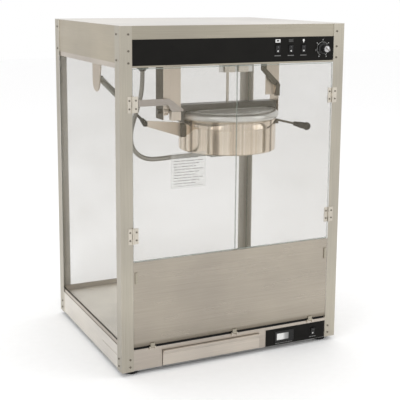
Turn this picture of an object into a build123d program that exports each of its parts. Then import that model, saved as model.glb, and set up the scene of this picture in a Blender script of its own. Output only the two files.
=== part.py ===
from build123d import *
import math
import os

# Countertop popcorn machine: glazed steel cabinet, tilting kettle, drop front and crumb drawer.
# Millimetres, +Z up, the front faces -Y. The origin is at the centre of the footprint, on the ground.

# ---- driving dimensions -------------------------------------------------------------------------
WIDTH = 750
DEPTH = 620
HEIGHT = 1041
FOOT_HEIGHT = 14
FOOT_RADIUS = 19
FOOT_INSET_X = 42
FOOT_INSET_Y = 30
POST = 38  # width of each corner angle
POST_THICK = 2
SHEET = 1.5  # cabinet sheet steel
GLASS = 5
GAP = 1.2  # running gap round doors and the drop front

BASE_FRONT_TOP = 80
BASE_SIDE_TOP = 88
DECK_TOP = 85
PANEL_BOTTOM = 86
PANEL_TOP = 350
DOOR_BOTTOM = 352
DOOR_TOP = 919
LIP_BOTTOM = 921
LIP_TOP = 927.5
CONTROL_TOP = 1001
HEADER_BOTTOM = 934
CHANNEL_HEIGHT = 15

HINGE_HEIGHT = 47
HINGE_CENTRES = (431, 817)
HINGE_LEAF = 16
KNUCKLE_RADIUS = 3
DOOR_AXIS_Y = -DEPTH / 2 - KNUCKLE_RADIUS

DRAWER_LEFT = -243
DRAWER_RIGHT = 89
DRAWER_BOTTOM = 18
DRAWER_TOP = 66
DRAWER_DEPTH = 430

KETTLE_X = 89
KETTLE_Y = -70
TILT_Z = 760
SHELL_RADIUS = 160
PAN_RADIUS = 151
RIM_OUTER = 168
RIM_BOTTOM = 732
RIM_TOP = 756
KETTLE_BOTTOM = 627
PAN_FLOOR = 642
LID_RADIUS = 151.5
LID_BOTTOM = 756.6
LID_AXIS_Z = 757.6
BAR_HALF_WIDTH = 22
BAR_BOTTOM = 760.5
BAR_TOP = 779
BAR_LEFT = -86
BAR_RIGHT = 262
TRUNNION_RADIUS = 8
SHAFT_RADIUS = 4.5
CLAW_GAP = 1.0
CLAW_RADIUS = 14
HANGER_FRONT = -98  # Y of the left hanger's front plate
HANDLE_ANGLE = math.radians(-37.5)  # in plan, from +X
BORE_PLAY = 0.06  # radial clearance of every running shaft

SPRING_X = -233
SPRING_LOW = (-155, 736)  # Y and Z of the lower stud
SPRING_HIGH = (256, 837)  # Y and Z of the upper stud
CYLINDER_RADIUS = 10.5
SPRING_ROD_RADIUS = 4.5
SPRING_CYLINDER_LENGTH = 225

CONDUIT_RADIUS = 7.5
CONDUIT_ROUTE = [
    (-217, -88, 892),
    (-217, -88, 852),
    (-225, -93, 810),
    (-243, -103, 768),
    (-262, -116, 729),
    (-273, -126, 692),
    (-268, -131, 652),
    (-244, -131, 619),
    (-208, -124, 602),
    (-165, -113, 600),
    (-121, -102, 604),
    (-74, -86, 609),
    (-28, -70, 612),
    (19, -70, 612),
]
KNOB_REACH = 26  # how far the timer knob and the rear inlet stand out of the cabinet
KNOB_X = 297
KNOB_Z = 963
SWITCH_XS = {"motor": 136, "kettle_heat": 182, "light": 227}
SWITCH_Z = 965
WARMER_SWITCH_X = 290
WARMER_SWITCH_Z = 42
ROCKER_HALF_WIDTH = 7
ROCKER_HALF_HEIGHT = 11
SWITCH_HOLE_HALF = (7.4, 12.4)
INLET_X = 285
INLET_Z = 48
INLET_BORE = 15
LAMP_X = 245
LAMP_Y = 175

LEFT = -WIDTH / 2
RIGHT = WIDTH / 2
FRONT = -DEPTH / 2
REAR = DEPTH / 2
INNER_X = RIGHT - POST_THICK
INNER_Y = REAR - POST_THICK
OPENING = RIGHT - POST - GAP  # half the clear width between the front posts
GLASS_X = INNER_X - SHEET - 2  # outer face of the side glass
GLASS_Y = INNER_Y - SHEET - 2
DOOR_AXIS_X = OPENING + 0.6
PANEL_AXIS_Y = FRONT - 1.5
PANEL_AXIS_Z = 83
PANEL_TABS = (-277, 0, 277)
TAB_HALF = 7  # half the width of each hinge tab
LID_AXIS = BAR_HALF_WIDTH + 3
CRUMB_COLUMNS = [DRAWER_LEFT + 20 + 27 * n for n in range(11)]
CRUMB_ROWS = [FRONT + 60 + 27 * n for n in range(4)]


# ---- small helpers ------------------------------------------------------------------------------
def block(x0, x1, y0, y1, z0, z1):
    """A box from its low and high corners."""
    centre = ((x0 + x1) / 2, (y0 + y1) / 2, (z0 + z1) / 2)
    return Pos(*centre) * Box(x1 - x0, y1 - y0, z1 - z0)


def rod(start, end, radius):
    """A round bar between two points."""
    start, end = Vector(*start), Vector(*end)
    along = end - start
    middle = (start + end) * 0.5
    return Plane(origin=middle, z_dir=along) * Cylinder(radius, along.length)


def disc(x, y, z0, z1, radius):
    """An upright round bar or plate."""
    return Pos(x, y, (z0 + z1) / 2) * Cylinder(radius, z1 - z0)


def plate_xz(points, y0, y1):
    """A plate that faces the front, from its outline in X and Z."""
    outline = Polyline(*[(x, y0, z) for x, z in points], close=True)
    return extrude(make_face(outline), y1 - y0, dir=(0, 1, 0))


def plate_yz(points, x0, x1):
    """A plate that faces the side, from its outline in Y and Z."""
    outline = Polyline(*[(x0, y, z) for y, z in points], close=True)
    return extrude(make_face(outline), x1 - x0, dir=(1, 0, 0))


def group(shapes):
    return Compound(children=list(shapes))


def save(name, shape):
    os.makedirs("parts", exist_ok=True)
    export_step(shape, f"parts/{name}.step")


def pan_head(x, y, z, facing, radius=3.2, height=1.8):
    """A domed screw head on the surface point x, y, z, looking along facing."""
    head = Cylinder(radius, height, align=(Align.CENTER, Align.CENTER, Align.MIN))
    head = fillet(head.edges().group_by(Axis.Z)[-1], height * 0.6)
    slot = Pos(0, 0, height) * Box(radius * 1.5, 0.9, 1.1)
    cross = Pos(0, 0, height) * Box(0.9, radius * 1.5, 1.1)
    return Plane(origin=(x, y, z), z_dir=facing) * (head - slot - cross)


# ---- cabinet frame ------------------------------------------------------------------------------
def corner_post(side, end):
    """One corner angle; side is -1 left or 1 right, end is -1 front or 1 rear."""
    x0, y0 = side * RIGHT, end * REAR
    outline = [
        (x0, y0),
        (x0 - side * POST, y0),
        (x0 - side * POST, y0 - end * POST_THICK),
        (x0 - side * POST_THICK, y0 - end * POST_THICK),
        (x0 - side * POST_THICK, y0 - end * POST),
        (x0, y0 - end * POST),
    ]
    face = make_face(Polyline(*[(x, y, FOOT_HEIGHT) for x, y in outline], close=True))
    post = extrude(face, HEIGHT - SHEET - FOOT_HEIGHT, dir=(0, 0, 1))
    corner = post.edges().filter_by(Axis.Z).sort_by_distance((x0, y0, HEIGHT / 2))[0]
    return fillet(corner, 1.6)


def feet():
    made = []
    for x in (LEFT + FOOT_INSET_X, RIGHT - FOOT_INSET_X):
        for y in (FRONT + FOOT_INSET_Y, REAR - FOOT_INSET_Y):
            foot = disc(x, y, 0, FOOT_HEIGHT, FOOT_RADIUS)
            made.append(chamfer(foot.edges().group_by(Axis.Z)[0], 3))
    return group(made)


def switch_hole(x, z):
    """What the panels lose for one rocker switch."""
    across, up = SWITCH_HOLE_HALF
    return block(x - across, x + across, FRONT - 5, FRONT + 5, z - up, z + up)


def display_hole():
    return block(150, 214, FRONT - 5, FRONT + 5, 28, 58)


def base_bottom():
    return block(LEFT + 2, RIGHT - 2, FRONT + 2, REAR - 2, FOOT_HEIGHT, FOOT_HEIGHT + SHEET)


def base_front():
    low = FOOT_HEIGHT + SHEET
    wall = block(-INNER_X, INNER_X, -INNER_Y, -INNER_Y + SHEET, low, BASE_FRONT_TOP)
    lip_x = INNER_X - SHEET - 0.3
    lip = block(-lip_x, lip_x, -INNER_Y, -INNER_Y + 14, BASE_FRONT_TOP - SHEET, BASE_FRONT_TOP)
    mouth = block(DRAWER_LEFT - 1, DRAWER_RIGHT + 1, FRONT - 9, FRONT + 9, low, DRAWER_TOP + 1)
    return (wall + lip) - mouth - display_hole() - switch_hole(WARMER_SWITCH_X, WARMER_SWITCH_Z)


def base_side(side):
    x0, x1 = sorted((side * INNER_X, side * (INNER_X - SHEET)))
    y_end = INNER_Y - SHEET
    return block(x0, x1, -y_end, y_end, FOOT_HEIGHT + SHEET, BASE_SIDE_TOP)


def base_rear():
    wall = block(-INNER_X, INNER_X, INNER_Y - SHEET, INNER_Y, FOOT_HEIGHT + SHEET, BASE_SIDE_TOP)
    return wall - rod((INLET_X, INNER_Y - 9, INLET_Z), (INLET_X, INNER_Y + 9, INLET_Z), INLET_BORE)


def deck():
    """The floor of the popping chamber: a tray with crumb holes above the drawer."""
    half_x = INNER_X - SHEET - 0.5
    front = FRONT + 17
    tray = block(-half_x, half_x, front, REAR - 14, DECK_TOP - SHEET, DECK_TOP)
    skirt = block(-half_x, half_x, front, front + SHEET, 70, DECK_TOP - SHEET)
    tray = tray + skirt
    holes = Locations([(x, y) for x in CRUMB_COLUMNS for y in CRUMB_ROWS])
    cutter = [Pos(p.position.X, p.position.Y, DECK_TOP) * Cylinder(5, 20) for p in holes]
    return tray - cutter


def deck_heater():
    """A flat heating plate under the deck, on two stand-offs."""
    plate = block(110, 330, -120, 240, 70, 74)
    legs = [block(130, 145, y, y + 20, FOOT_HEIGHT + SHEET, 70) for y in (-110, 200)]
    return plate + legs


# ---- header -------------------------------------------------------------------------------------
def top_cover():
    cover = block(LEFT, RIGHT, FRONT, REAR, HEIGHT - SHEET, HEIGHT)
    return fillet(cover.edges().group_by(Axis.Z)[-1], 1.2)


def header_side(side):
    x0, x1 = sorted((side * INNER_X, side * (INNER_X - SHEET)))
    y_end = INNER_Y - SHEET
    return block(x0, x1, -y_end, y_end, HEADER_BOTTOM, HEIGHT - SHEET)


def header_rear():
    wall = block(-INNER_X, INNER_X, INNER_Y - SHEET, INNER_Y, HEADER_BOTTOM, HEIGHT - SHEET)
    vents = [
        block(x, x + 60, REAR - 9, REAR + 9, z, z + 5)
        for x in (-230, -150, 90, 170)
        for z in (965, 980, 995, 1010)
    ]
    return wall - vents


def header_front():
    """The plain band over the control panel, its backing sheet and the rolled lip below."""
    backing = block(-INNER_X, INNER_X, -INNER_Y, -INNER_Y + SHEET, HEADER_BOTTOM, HEIGHT - SHEET)
    lip = block(-OPENING, OPENING, FRONT + 0.5, FRONT + 10, LIP_BOTTOM, LIP_TOP)
    lip = fillet(lip.edges().filter_by(Axis.X).group_by(Axis.Y)[0], 2)
    web = block(-OPENING, OPENING, -INNER_Y, -INNER_Y + SHEET, LIP_TOP, HEADER_BOTTOM)
    return cut_panel_holes(backing + lip + web)


def cut_panel_holes(shape):
    for x in SWITCH_XS.values():
        shape = shape - switch_hole(x, SWITCH_Z)
    bore = SHAFT_RADIUS + BORE_PLAY
    return shape - rod((KNOB_X, FRONT - 5, KNOB_Z), (KNOB_X, FRONT + 5, KNOB_Z), bore)


def control_panel():
    plate = block(-OPENING, OPENING, FRONT + 0.3, FRONT + POST_THICK, LIP_TOP, CONTROL_TOP)
    return cut_panel_holes(plate)


def header_floor():
    plate = block(-INNER_X + SHEET, INNER_X - SHEET, -INNER_Y + SHEET, INNER_Y - SHEET,
                  HEADER_BOTTOM, HEADER_BOTTOM + SHEET)
    return plate - disc(KETTLE_X, KETTLE_Y, HEADER_BOTTOM - 5, HEADER_BOTTOM + 5, CLAW_RADIUS + 1)


def rocker(x, z):
    """A switch rocker: a wedge that stands proud at its top edge and turns about its middle."""
    half = ROCKER_HALF_HEIGHT
    outline = [
        (FRONT - 3.2, z + half),
        (FRONT - 1.0, z - 0.5),
        (FRONT - 1.8, z - half),
        (FRONT + 4.5, z - half + 1.5),
        (FRONT + 6.5, z),
        (FRONT + 4.5, z + half - 1.5),
    ]
    wedge = plate_yz(outline, x - ROCKER_HALF_WIDTH, x + ROCKER_HALF_WIDTH)
    reach = ROCKER_HALF_WIDTH + 0.3
    return wedge + rod((x - reach, FRONT + 1, z), (x + reach, FRONT + 1, z), 1.5)


def switch_housing(x, z):
    """The switch body behind the panel, hollow where the rocker turns."""
    back = block(x - 10, x + 10, FRONT + 3.5, FRONT + 30, z - 16, z + 16)
    return back - block(x - 7.6, x + 7.6, FRONT, FRONT + 14, z - 13.6, z + 13.6)


def timer_knob():
    """A knob with a skirt, ribbed grip and plain cap, and its spindle."""
    skirt = rod((KNOB_X, FRONT - 0.4, KNOB_Z), (KNOB_X, FRONT - 5, KNOB_Z), 17)
    grip = rod((KNOB_X, FRONT - 5, KNOB_Z), (KNOB_X, FRONT - KNOB_REACH + 2, KNOB_Z), 13)
    cap = rod((KNOB_X, FRONT - KNOB_REACH + 2, KNOB_Z), (KNOB_X, FRONT - KNOB_REACH, KNOB_Z), 11)
    spindle = rod((KNOB_X, FRONT - 0.4, KNOB_Z), (KNOB_X, FRONT + 14, KNOB_Z), SHAFT_RADIUS)
    return skirt + grip + cap + spindle


def timer_housing():
    back = block(KNOB_X - 22, KNOB_X + 22, FRONT + 4, FRONT + 44, KNOB_Z - 24, KNOB_Z + 24)
    bore = rod((KNOB_X, FRONT, KNOB_Z), (KNOB_X, FRONT + 15, KNOB_Z), SHAFT_RADIUS + BORE_PLAY)
    return back - bore


# ---- glazing ------------------------------------------------------------------------------------
def side_glass(side):
    x0, x1 = sorted((side * GLASS_X, side * (GLASS_X - GLASS)))
    return block(x0, x1, FRONT + 12, GLASS_Y - GLASS - 2.5, DECK_TOP + 3, HEADER_BOTTOM - 3)


def rear_glass():
    return block(-GLASS_X, GLASS_X, GLASS_Y - GLASS, GLASS_Y, DECK_TOP + 3, HEADER_BOTTOM - 3)


def channel(length_from, length_to, across, low, opens_up, along_x):
    """A U section that holds one edge of a pane; across is the pane's outer face."""
    direction = math.copysign(1, across)
    outer = across + direction * SHEET
    inner = across - direction * (GLASS + SHEET)
    a0, a1 = sorted((outer, inner))
    g0, g1 = sorted((across, across - direction * GLASS))
    high = low + CHANNEL_HEIGHT
    slot_low = low + 3 if opens_up else low - 1
    slot_high = high + 1 if opens_up else high - 3
    if along_x:
        body = block(length_from, length_to, a0, a1, low, high)
        return body - block(length_from - 1, length_to + 1, g0, g1, slot_low, slot_high)
    body = block(a0, a1, length_from, length_to, low, high)
    return body - block(g0, g1, length_from - 1, length_to + 1, slot_low, slot_high)


def glass_channels(opens_up):
    low = DECK_TOP if opens_up else HEADER_BOTTOM - CHANNEL_HEIGHT
    side_front, side_rear = FRONT + 12, GLASS_Y - GLASS - SHEET - 0.5
    made = [channel(side_front, side_rear, side * GLASS_X, low, opens_up, False) for side in (-1, 1)]
    made.append(channel(-GLASS_X, GLASS_X, GLASS_Y, low, opens_up, True))
    return made


def door_glass(side):
    x0, x1 = sorted((side * 1.0, side * (OPENING - 0.8)))
    pane = block(x0, x1, FRONT + 1, FRONT + 1 + GLASS, DOOR_BOTTOM, DOOR_TOP)
    return fillet(pane.edges().filter_by(Axis.Y), 2)


def knuckle(side, z0, z1):
    """One barrel of a hinge, bored for the pin."""
    x = side * DOOR_AXIS_X
    barrel = disc(x, DOOR_AXIS_Y, z0, z1, KNUCKLE_RADIUS)
    return barrel - disc(x, DOOR_AXIS_Y, z0 - 1, z1 + 1, 1.5 + BORE_PLAY)


def hinge_leaf(side, centre, on_door):
    """A leaf with its knuckles: two outer ones on the post, one middle one on the door."""
    half = HINGE_HEIGHT / 2
    third = HINGE_HEIGHT / 6
    direction = -side if on_door else side
    x = side * DOOR_AXIS_X
    leaf_y0 = FRONT - 1.6
    leaf_y1 = FRONT if not on_door else FRONT + 1
    x_near = x + direction * 1.4
    x_far = x + direction * HINGE_LEAF
    a, b = sorted((x_near, x_far))
    leaf = block(a, b, leaf_y0, leaf_y1, centre - half, centre + half)
    spans = [(-third + 0.4, third - 0.4)] if on_door else [(-half, -third), (third, half)]
    barrels = [knuckle(side, centre + s0, centre + s1) for s0, s1 in spans]
    webs = []
    for s0, s1 in spans:
        w0, w1 = sorted((x + direction * 1.8, x + direction * 4))
        webs.append(block(w0, w1, DOOR_AXIS_Y - 1, leaf_y0 + 0.5, centre + s0, centre + s1))
    clear = [(-half, -third + 0.4), (third - 0.4, half)] if on_door else [(-third, third)]
    for s0, s1 in clear:
        c0, c1 = sorted((x - direction * 4, x + direction * 3.8))
        leaf = leaf - block(c0, c1, leaf_y0 - 1, FRONT + (0.2 if on_door else 0), centre + s0, centre + s1)
    whole = leaf + barrels + webs
    return whole - disc(x, DOOR_AXIS_Y, centre - half - 1, centre + half + 1, 1.5 + BORE_PLAY)


def hinge_leaves(side, on_door):
    return [hinge_leaf(side, z, on_door) for z in HINGE_CENTRES]


def hinge_pins():
    """The pins stay with the post leaves and end in a small round head."""
    made = []
    for side in (-1, 1):
        for z in HINGE_CENTRES:
            low, high = z - HINGE_HEIGHT / 2, z + HINGE_HEIGHT / 2
            pin = disc(side * DOOR_AXIS_X, DOOR_AXIS_Y, low - 0.5, high, 1.5)
            head = disc(side * DOOR_AXIS_X, DOOR_AXIS_Y, high, high + 1.6, 2.4)
            made.append(pin + head)
    return made


def hinge_screws(side, on_door):
    """Two screws through each leaf."""
    direction = -side if on_door else side
    x = side * DOOR_AXIS_X + direction * 10
    made = [
        pan_head(x, FRONT - 1.6, z + shift, (0, -1, 0), 2.8, 1.3)
        for z in HINGE_CENTRES
        for shift in (-12, 12)
    ]
    return made


def door_strike(side):
    """The small steel plate that the magnet holds, clamped on the pane's top inner corner."""
    x0, x1 = sorted((side * 6, side * 40))
    return block(x0, x1, FRONT + 1 + GLASS, FRONT + 3 + GLASS, DOOR_TOP - 20, DOOR_TOP - 2)


def catch_bracket():
    """The angle under the header that carries the two door magnets."""
    y0 = FRONT + 12
    front = block(-56, 56, y0, y0 + SHEET, 899, HEADER_BOTTOM)
    foot = block(-56, 56, y0, y0 + 22, HEADER_BOTTOM - SHEET, HEADER_BOTTOM)
    return front + foot


def catch_magnets():
    y1 = FRONT + 12
    y0 = FRONT + 3.4 + GLASS
    return [block(x - 13, x + 13, y0, y1, 900, 914) for x in (-23, 23)]


# ---- drop front ---------------------------------------------------------------------------------
def drop_front():
    """The fold-down steel front: a shallow tray of sheet with a rolled bottom edge."""
    low = PANEL_BOTTOM
    face = block(-OPENING, OPENING, FRONT + 0.5, FRONT + 2, low + 4, PANEL_TOP)
    top = block(-OPENING, OPENING, FRONT + 2, FRONT + 12, PANEL_TOP - SHEET, PANEL_TOP)
    roll = rod((-OPENING, FRONT + 5, low + 4.5), (OPENING, FRONT + 5, low + 4.5), 4.4)
    sides = []
    for side in (-1, 1):
        x0, x1 = sorted((side * OPENING, side * (OPENING - SHEET)))
        sides.append(block(x0, x1, FRONT + 2, FRONT + 12, low + 9, PANEL_TOP))
    return face + top + roll + sides


def panel_hinge_tabs():
    """Three tabs under the drop front, each bored for the pin that the base carries."""
    made = []
    for x in PANEL_TABS:
        x0, x1 = x - TAB_HALF, x + TAB_HALF
        eye = rod((x0, PANEL_AXIS_Y, PANEL_AXIS_Z), (x1, PANEL_AXIS_Y, PANEL_AXIS_Z), 3.2)
        tongue = block(x0, x1, FRONT - 2.5, FRONT + 0.5, PANEL_AXIS_Z + 1, PANEL_BOTTOM + 9)
        bore = rod((x0 - 1, PANEL_AXIS_Y, PANEL_AXIS_Z), (x1 + 1, PANEL_AXIS_Y, PANEL_AXIS_Z),
                   1.5 + BORE_PLAY)
        made.append(eye + tongue - bore)
    return made


def panel_hinge_brackets():
    """Lugs on the base, each side of every tab, with the pin pressed through them."""
    made = []
    for x in PANEL_TABS:
        lugs = []
        for side in (-1, 1):
            x0, x1 = sorted((x + side * (TAB_HALF + 0.6), x + side * (TAB_HALF + 3)))
            lugs.append(block(x0, x1, PANEL_AXIS_Y - 2.6, FRONT + 2, 75, PANEL_AXIS_Z + 2))
        reach = TAB_HALF + 4
        pin = rod((x - reach, PANEL_AXIS_Y, PANEL_AXIS_Z), (x + reach, PANEL_AXIS_Y, PANEL_AXIS_Z), 1.5)
        made.append(pin + lugs)
    return group(made)


def panel_latches():
    """A pressed pull on each side of the drop front, near its top."""
    made = []
    for side in (-1, 1):
        x0, x1 = sorted((side * (OPENING - 4), side * (OPENING - 12)))
        clip = block(x0, x1, FRONT - 3, FRONT + 0.5, 285, 320)
        made.append(fillet(clip.edges().group_by(Axis.Y)[0], 1.2))
    return made


def door_rest_clip():
    """The small buffer at the middle of the drop front's top edge, under the doors' corners."""
    return block(-7, 7, FRONT + 3, FRONT + 12, PANEL_TOP, PANEL_TOP + 1.2)


# ---- crumb drawer -------------------------------------------------------------------------------
def drawer_tray():
    x0, x1 = DRAWER_LEFT + 4, DRAWER_RIGHT - 4
    y0, y1 = FRONT + 2, FRONT + DRAWER_DEPTH
    z0, z1 = DRAWER_BOTTOM + 2, DRAWER_TOP - 8
    tray = block(x0, x1, y0, y1, z0, z1)
    return tray - block(x0 + SHEET, x1 - SHEET, y0 + SHEET, y1 - SHEET, z0 + SHEET, z1 + 1)


def drawer_front():
    """The drawer's face with a slanted finger pull along its top."""
    outline = [
        (FRONT + 2, DRAWER_BOTTOM),
        (FRONT - 1.5, DRAWER_BOTTOM),
        (FRONT - 1.5, DRAWER_TOP - 14),
        (FRONT - 8, DRAWER_TOP - 2),
        (FRONT - 8, DRAWER_TOP),
        (FRONT + 2, DRAWER_TOP),
    ]
    return plate_yz(outline, DRAWER_LEFT, DRAWER_RIGHT)


def drawer_runners():
    made = []
    for x, side in ((DRAWER_LEFT + 4, -1), (DRAWER_RIGHT - 4, 1)):
        low = FOOT_HEIGHT + SHEET
        x0, x1 = sorted((x + side * 0.6, x + side * 2.4))
        wall = block(x0, x1, FRONT + 14, FRONT + DRAWER_DEPTH + 5, low, 60)
        f0, f1 = sorted((x - side * 12, x + side * 2.4))
        foot = block(f0, f1, FRONT + 14, FRONT + DRAWER_DEPTH + 5, low, DRAWER_BOTTOM + 1.4)
        made.append(wall + foot)
    return group(made)


# ---- base controls and rear inlet ---------------------------------------------------------------
def lower_panel():
    plate = block(115, 335, FRONT + 0.3, FRONT + POST_THICK, FOOT_HEIGHT + SHEET, 70)
    return plate - display_hole() - switch_hole(WARMER_SWITCH_X, WARMER_SWITCH_Z)


def temperature_display():
    """The snap-in controller: a bezel, its window pocket and the case behind."""
    bezel = block(147, 217, FRONT - 2, FRONT + 0.3, 25, 61)
    bezel = fillet(bezel.edges().group_by(Axis.Y)[0], 1)
    case = block(150.2, 213.8, FRONT + 0.3, FRONT + 45, 28.2, 57.8)
    window = block(154, 198, FRONT - 3, FRONT - 1, 32, 54)
    return bezel + case - window


def display_lens():
    return block(154.2, 197.8, FRONT - 1, FRONT - 0.4, 32.2, 53.8)


def access_plate():
    """A thin plate let into the left side of the base, under the glass."""
    return block(-INNER_X - 1.2, -INNER_X, FRONT + 40, FRONT + 178, 17, 56)


def power_inlet():
    """The supply cord's gland at the rear; the cord itself isn't modelled."""
    nut = rod((INLET_X, REAR - POST_THICK, INLET_Z), (INLET_X, REAR + 9, INLET_Z), 20)
    dome = rod((INLET_X, REAR + 9, INLET_Z), (INLET_X, REAR + KNOB_REACH, INLET_Z), 14)
    dome = fillet(dome.edges().group_by(Axis.Y)[-1], 4)
    thread = rod((INLET_X, REAR - 18, INLET_Z), (INLET_X, REAR - POST_THICK, INLET_Z), 14.8)
    bore = rod((INLET_X, REAR - 19, INLET_Z), (INLET_X, REAR + KNOB_REACH + 1, INLET_Z), 6)
    return nut + dome + thread - bore


# ---- drive in the header ------------------------------------------------------------------------
def gear_motor():
    low = HEADER_BOTTOM + SHEET
    gearbox = block(KETTLE_X - 60, KETTLE_X + 40, KETTLE_Y - 40, KETTLE_Y + 40, low + 14, low + 50)
    gearbox = fillet(gearbox.edges().filter_by(Axis.Z), 8)
    legs = [
        disc(KETTLE_X + x, KETTLE_Y + y, low, low + 14, 6) for x in (-50, 30) for y in (-30, 30)
    ]
    can = disc(KETTLE_X - 25, KETTLE_Y, low + 50, low + 98, 32)
    bore = disc(KETTLE_X, KETTLE_Y, low, low + 40, 6 + BORE_PLAY)
    return gearbox + legs + can - bore


def drive_claw():
    """The motor's output: a cup with two dogs that stand just clear of the stirrer's cross bar."""
    low = HEADER_BOTTOM + 0.4
    hub = disc(KETTLE_X, KETTLE_Y, low + 4, low + 14, CLAW_RADIUS)
    dogs = [
        Pos(KETTLE_X + x, KETTLE_Y, low + 2) * Box(7, 12, 4.2) for x in (-9, 9)
    ]
    spindle = disc(KETTLE_X, KETTLE_Y, low + 14, low + 38, 6)
    return hub + dogs + spindle


def lamp_holder():
    low = HEADER_BOTTOM
    cup = disc(LAMP_X, LAMP_Y, low - 26, low, 19)
    return fillet(cup.edges().group_by(Axis.Z)[0], 3)


def lamp_bulb():
    """A short globe bulb, with its cap in the holder's face."""
    top = HEADER_BOTTOM - 26
    return disc(LAMP_X, LAMP_Y, top - 10, top, 12) + Pos(LAMP_X, LAMP_Y, top - 30) * Sphere(24)


# ---- kettle suspension --------------------------------------------------------------------------
def hanger_left():
    """A folded channel from the header floor: wide front plate and deep side flange."""
    y0 = HANGER_FRONT
    front = block(-151, -91, y0, y0 + SHEET, 770, HEADER_BOTTOM)
    flange = block(-151, -149, y0, y0 + 60, 735, HEADER_BOTTOM)
    foot = block(-151, -91, y0, y0 + 60, HEADER_BOTTOM - 2, HEADER_BOTTOM)
    bore = rod((-160, KETTLE_Y, TILT_Z), (-140, KETTLE_Y, TILT_Z), TRUNNION_RADIUS + BORE_PLAY)
    return front + flange + foot - bore


def pivot_hub(x0, x1):
    """A bearing boss round a trunnion."""
    boss = rod((x0, KETTLE_Y, TILT_Z), (x1, KETTLE_Y, TILT_Z), 14)
    bore = rod((x0 - 1, KETTLE_Y, TILT_Z), (x1 + 1, KETTLE_Y, TILT_Z), TRUNNION_RADIUS + BORE_PLAY)
    return fillet(boss.edges().filter_by(GeomType.CIRCLE), 1.5) - bore


def pivot_clamp():
    """The square keeper block beside the left hub, with one slotted screw."""
    y0 = HANGER_FRONT - 5
    keeper = block(-124, -92, y0, y0 + 20, 732, 760)
    keeper = fillet(keeper.edges().filter_by(Axis.Y), 1.5)
    neck = block(-112, -104, HANGER_FRONT + SHEET, HANGER_FRONT + 8, 755, 780)
    screw = rod((-108, y0 - 2.2, 746), (-108, y0, 746), 6)
    screw = screw - block(-114, -102, y0 - 3, y0 - 1.2, 745.2, 746.8)
    return keeper + neck + screw


def conduit_arm():
    """The flat bar and gusset that steady the conduit, screwed to the left hanger."""
    y0 = HANGER_FRONT - 12
    outline = [(-238, 783), (-238, 804), (-135, 804), (-86, 768), (-86, 762), (-126, 762), (-139, 783)]
    arm = plate_xz(outline, y0, y0 + 3)
    spacers = [rod((-120, y0 + 3, z), (-120, HANGER_FRONT, z), 4) for z in (776, 790)]
    return arm + spacers


def hanger_right():
    """The right channel, its flange carrying the bearing, open towards the kettle."""
    y0 = HANGER_FRONT + 18
    front = block(219, 270, y0 - 12, y0 - 10.5, 800, HEADER_BOTTOM)
    flange = block(268, 270, y0 - 12, y0 + 42, 735, HEADER_BOTTOM)
    foot = block(219, 270, y0 - 12, y0 + 42, HEADER_BOTTOM - 2, HEADER_BOTTOM)
    bore = rod((260, KETTLE_Y, TILT_Z), (275, KETTLE_Y, TILT_Z), TRUNNION_RADIUS + BORE_PLAY)
    return front + flange + foot - bore


def hanger_brace():
    """The cranked bar from the header to the right bearing, with its round spacer and clip."""
    y0 = HANGER_FRONT - 6
    half = 10
    bend, low = 886, 838
    outline = [
        (206 - half, HEADER_BOTTOM), (206 + half, HEADER_BOTTOM), (206 + half, bend),
        (256 + half, low), (256 - half, low - 6), (206 - half, bend - 3),
    ]
    bar = plate_xz(outline, y0, y0 + 4)
    spacer = rod((259, y0 - 3, 830), (259, HANGER_FRONT + 6, 830), 8)
    clip = block(252, 267, y0, HANGER_FRONT + 6, 796, 824)
    return bar + spacer + clip


# ---- kettle -------------------------------------------------------------------------------------
def centre_disc(z0, z1, radius):
    return disc(KETTLE_X, KETTLE_Y, z0, z1, radius)


def kettle_shell():
    """The polished outer can, open at the top, with a rounded bottom edge."""
    can = centre_disc(KETTLE_BOTTOM, RIM_BOTTOM + 2, SHELL_RADIUS)
    can = fillet(can.edges().group_by(Axis.Z)[0], 6)
    return can - centre_disc(KETTLE_BOTTOM + SHEET, RIM_TOP, SHELL_RADIUS - SHEET)


def kettle_pan():
    """The popping pan, with a flange that the rim is rolled over."""
    pan = centre_disc(PAN_FLOOR - 2, RIM_TOP - 4, PAN_RADIUS)
    pan = fillet(pan.edges().group_by(Axis.Z)[0], 8)
    hollow = centre_disc(PAN_FLOOR, RIM_TOP + 5, PAN_RADIUS - 2)
    hollow = fillet(hollow.edges().group_by(Axis.Z)[0], 6)
    return pan - hollow


def kettle_rim():
    """A rolled ring, flat on its inside and round outside."""
    ring = centre_disc(RIM_BOTTOM, RIM_TOP, RIM_OUTER)
    ring = fillet(ring.edges(), 7)
    ring = ring - centre_disc(RIM_BOTTOM - 1, RIM_TOP + 1, PAN_RADIUS)
    return ring - centre_disc(RIM_BOTTOM - 1, RIM_BOTTOM + 2, SHELL_RADIUS)


def kettle_heater():
    """The ring element clamped under the pan."""
    ring = centre_disc(631, PAN_FLOOR - 2, 118) - centre_disc(630, PAN_FLOOR, 70)
    return ring


def kettle_wire_box():
    """The box under the kettle where the conduit ends, with the conduit's collar."""
    box = block(KETTLE_X - 66, KETTLE_X + 10, KETTLE_Y - 20, KETTLE_Y + 40, 603, KETTLE_BOTTOM)
    box = fillet(box.edges().filter_by(Axis.Z), 4)
    x, y, z = CONDUIT_ROUTE[-1]
    return box + rod((x, y, z), (KETTLE_X - 62, y, z), 8.9)


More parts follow.
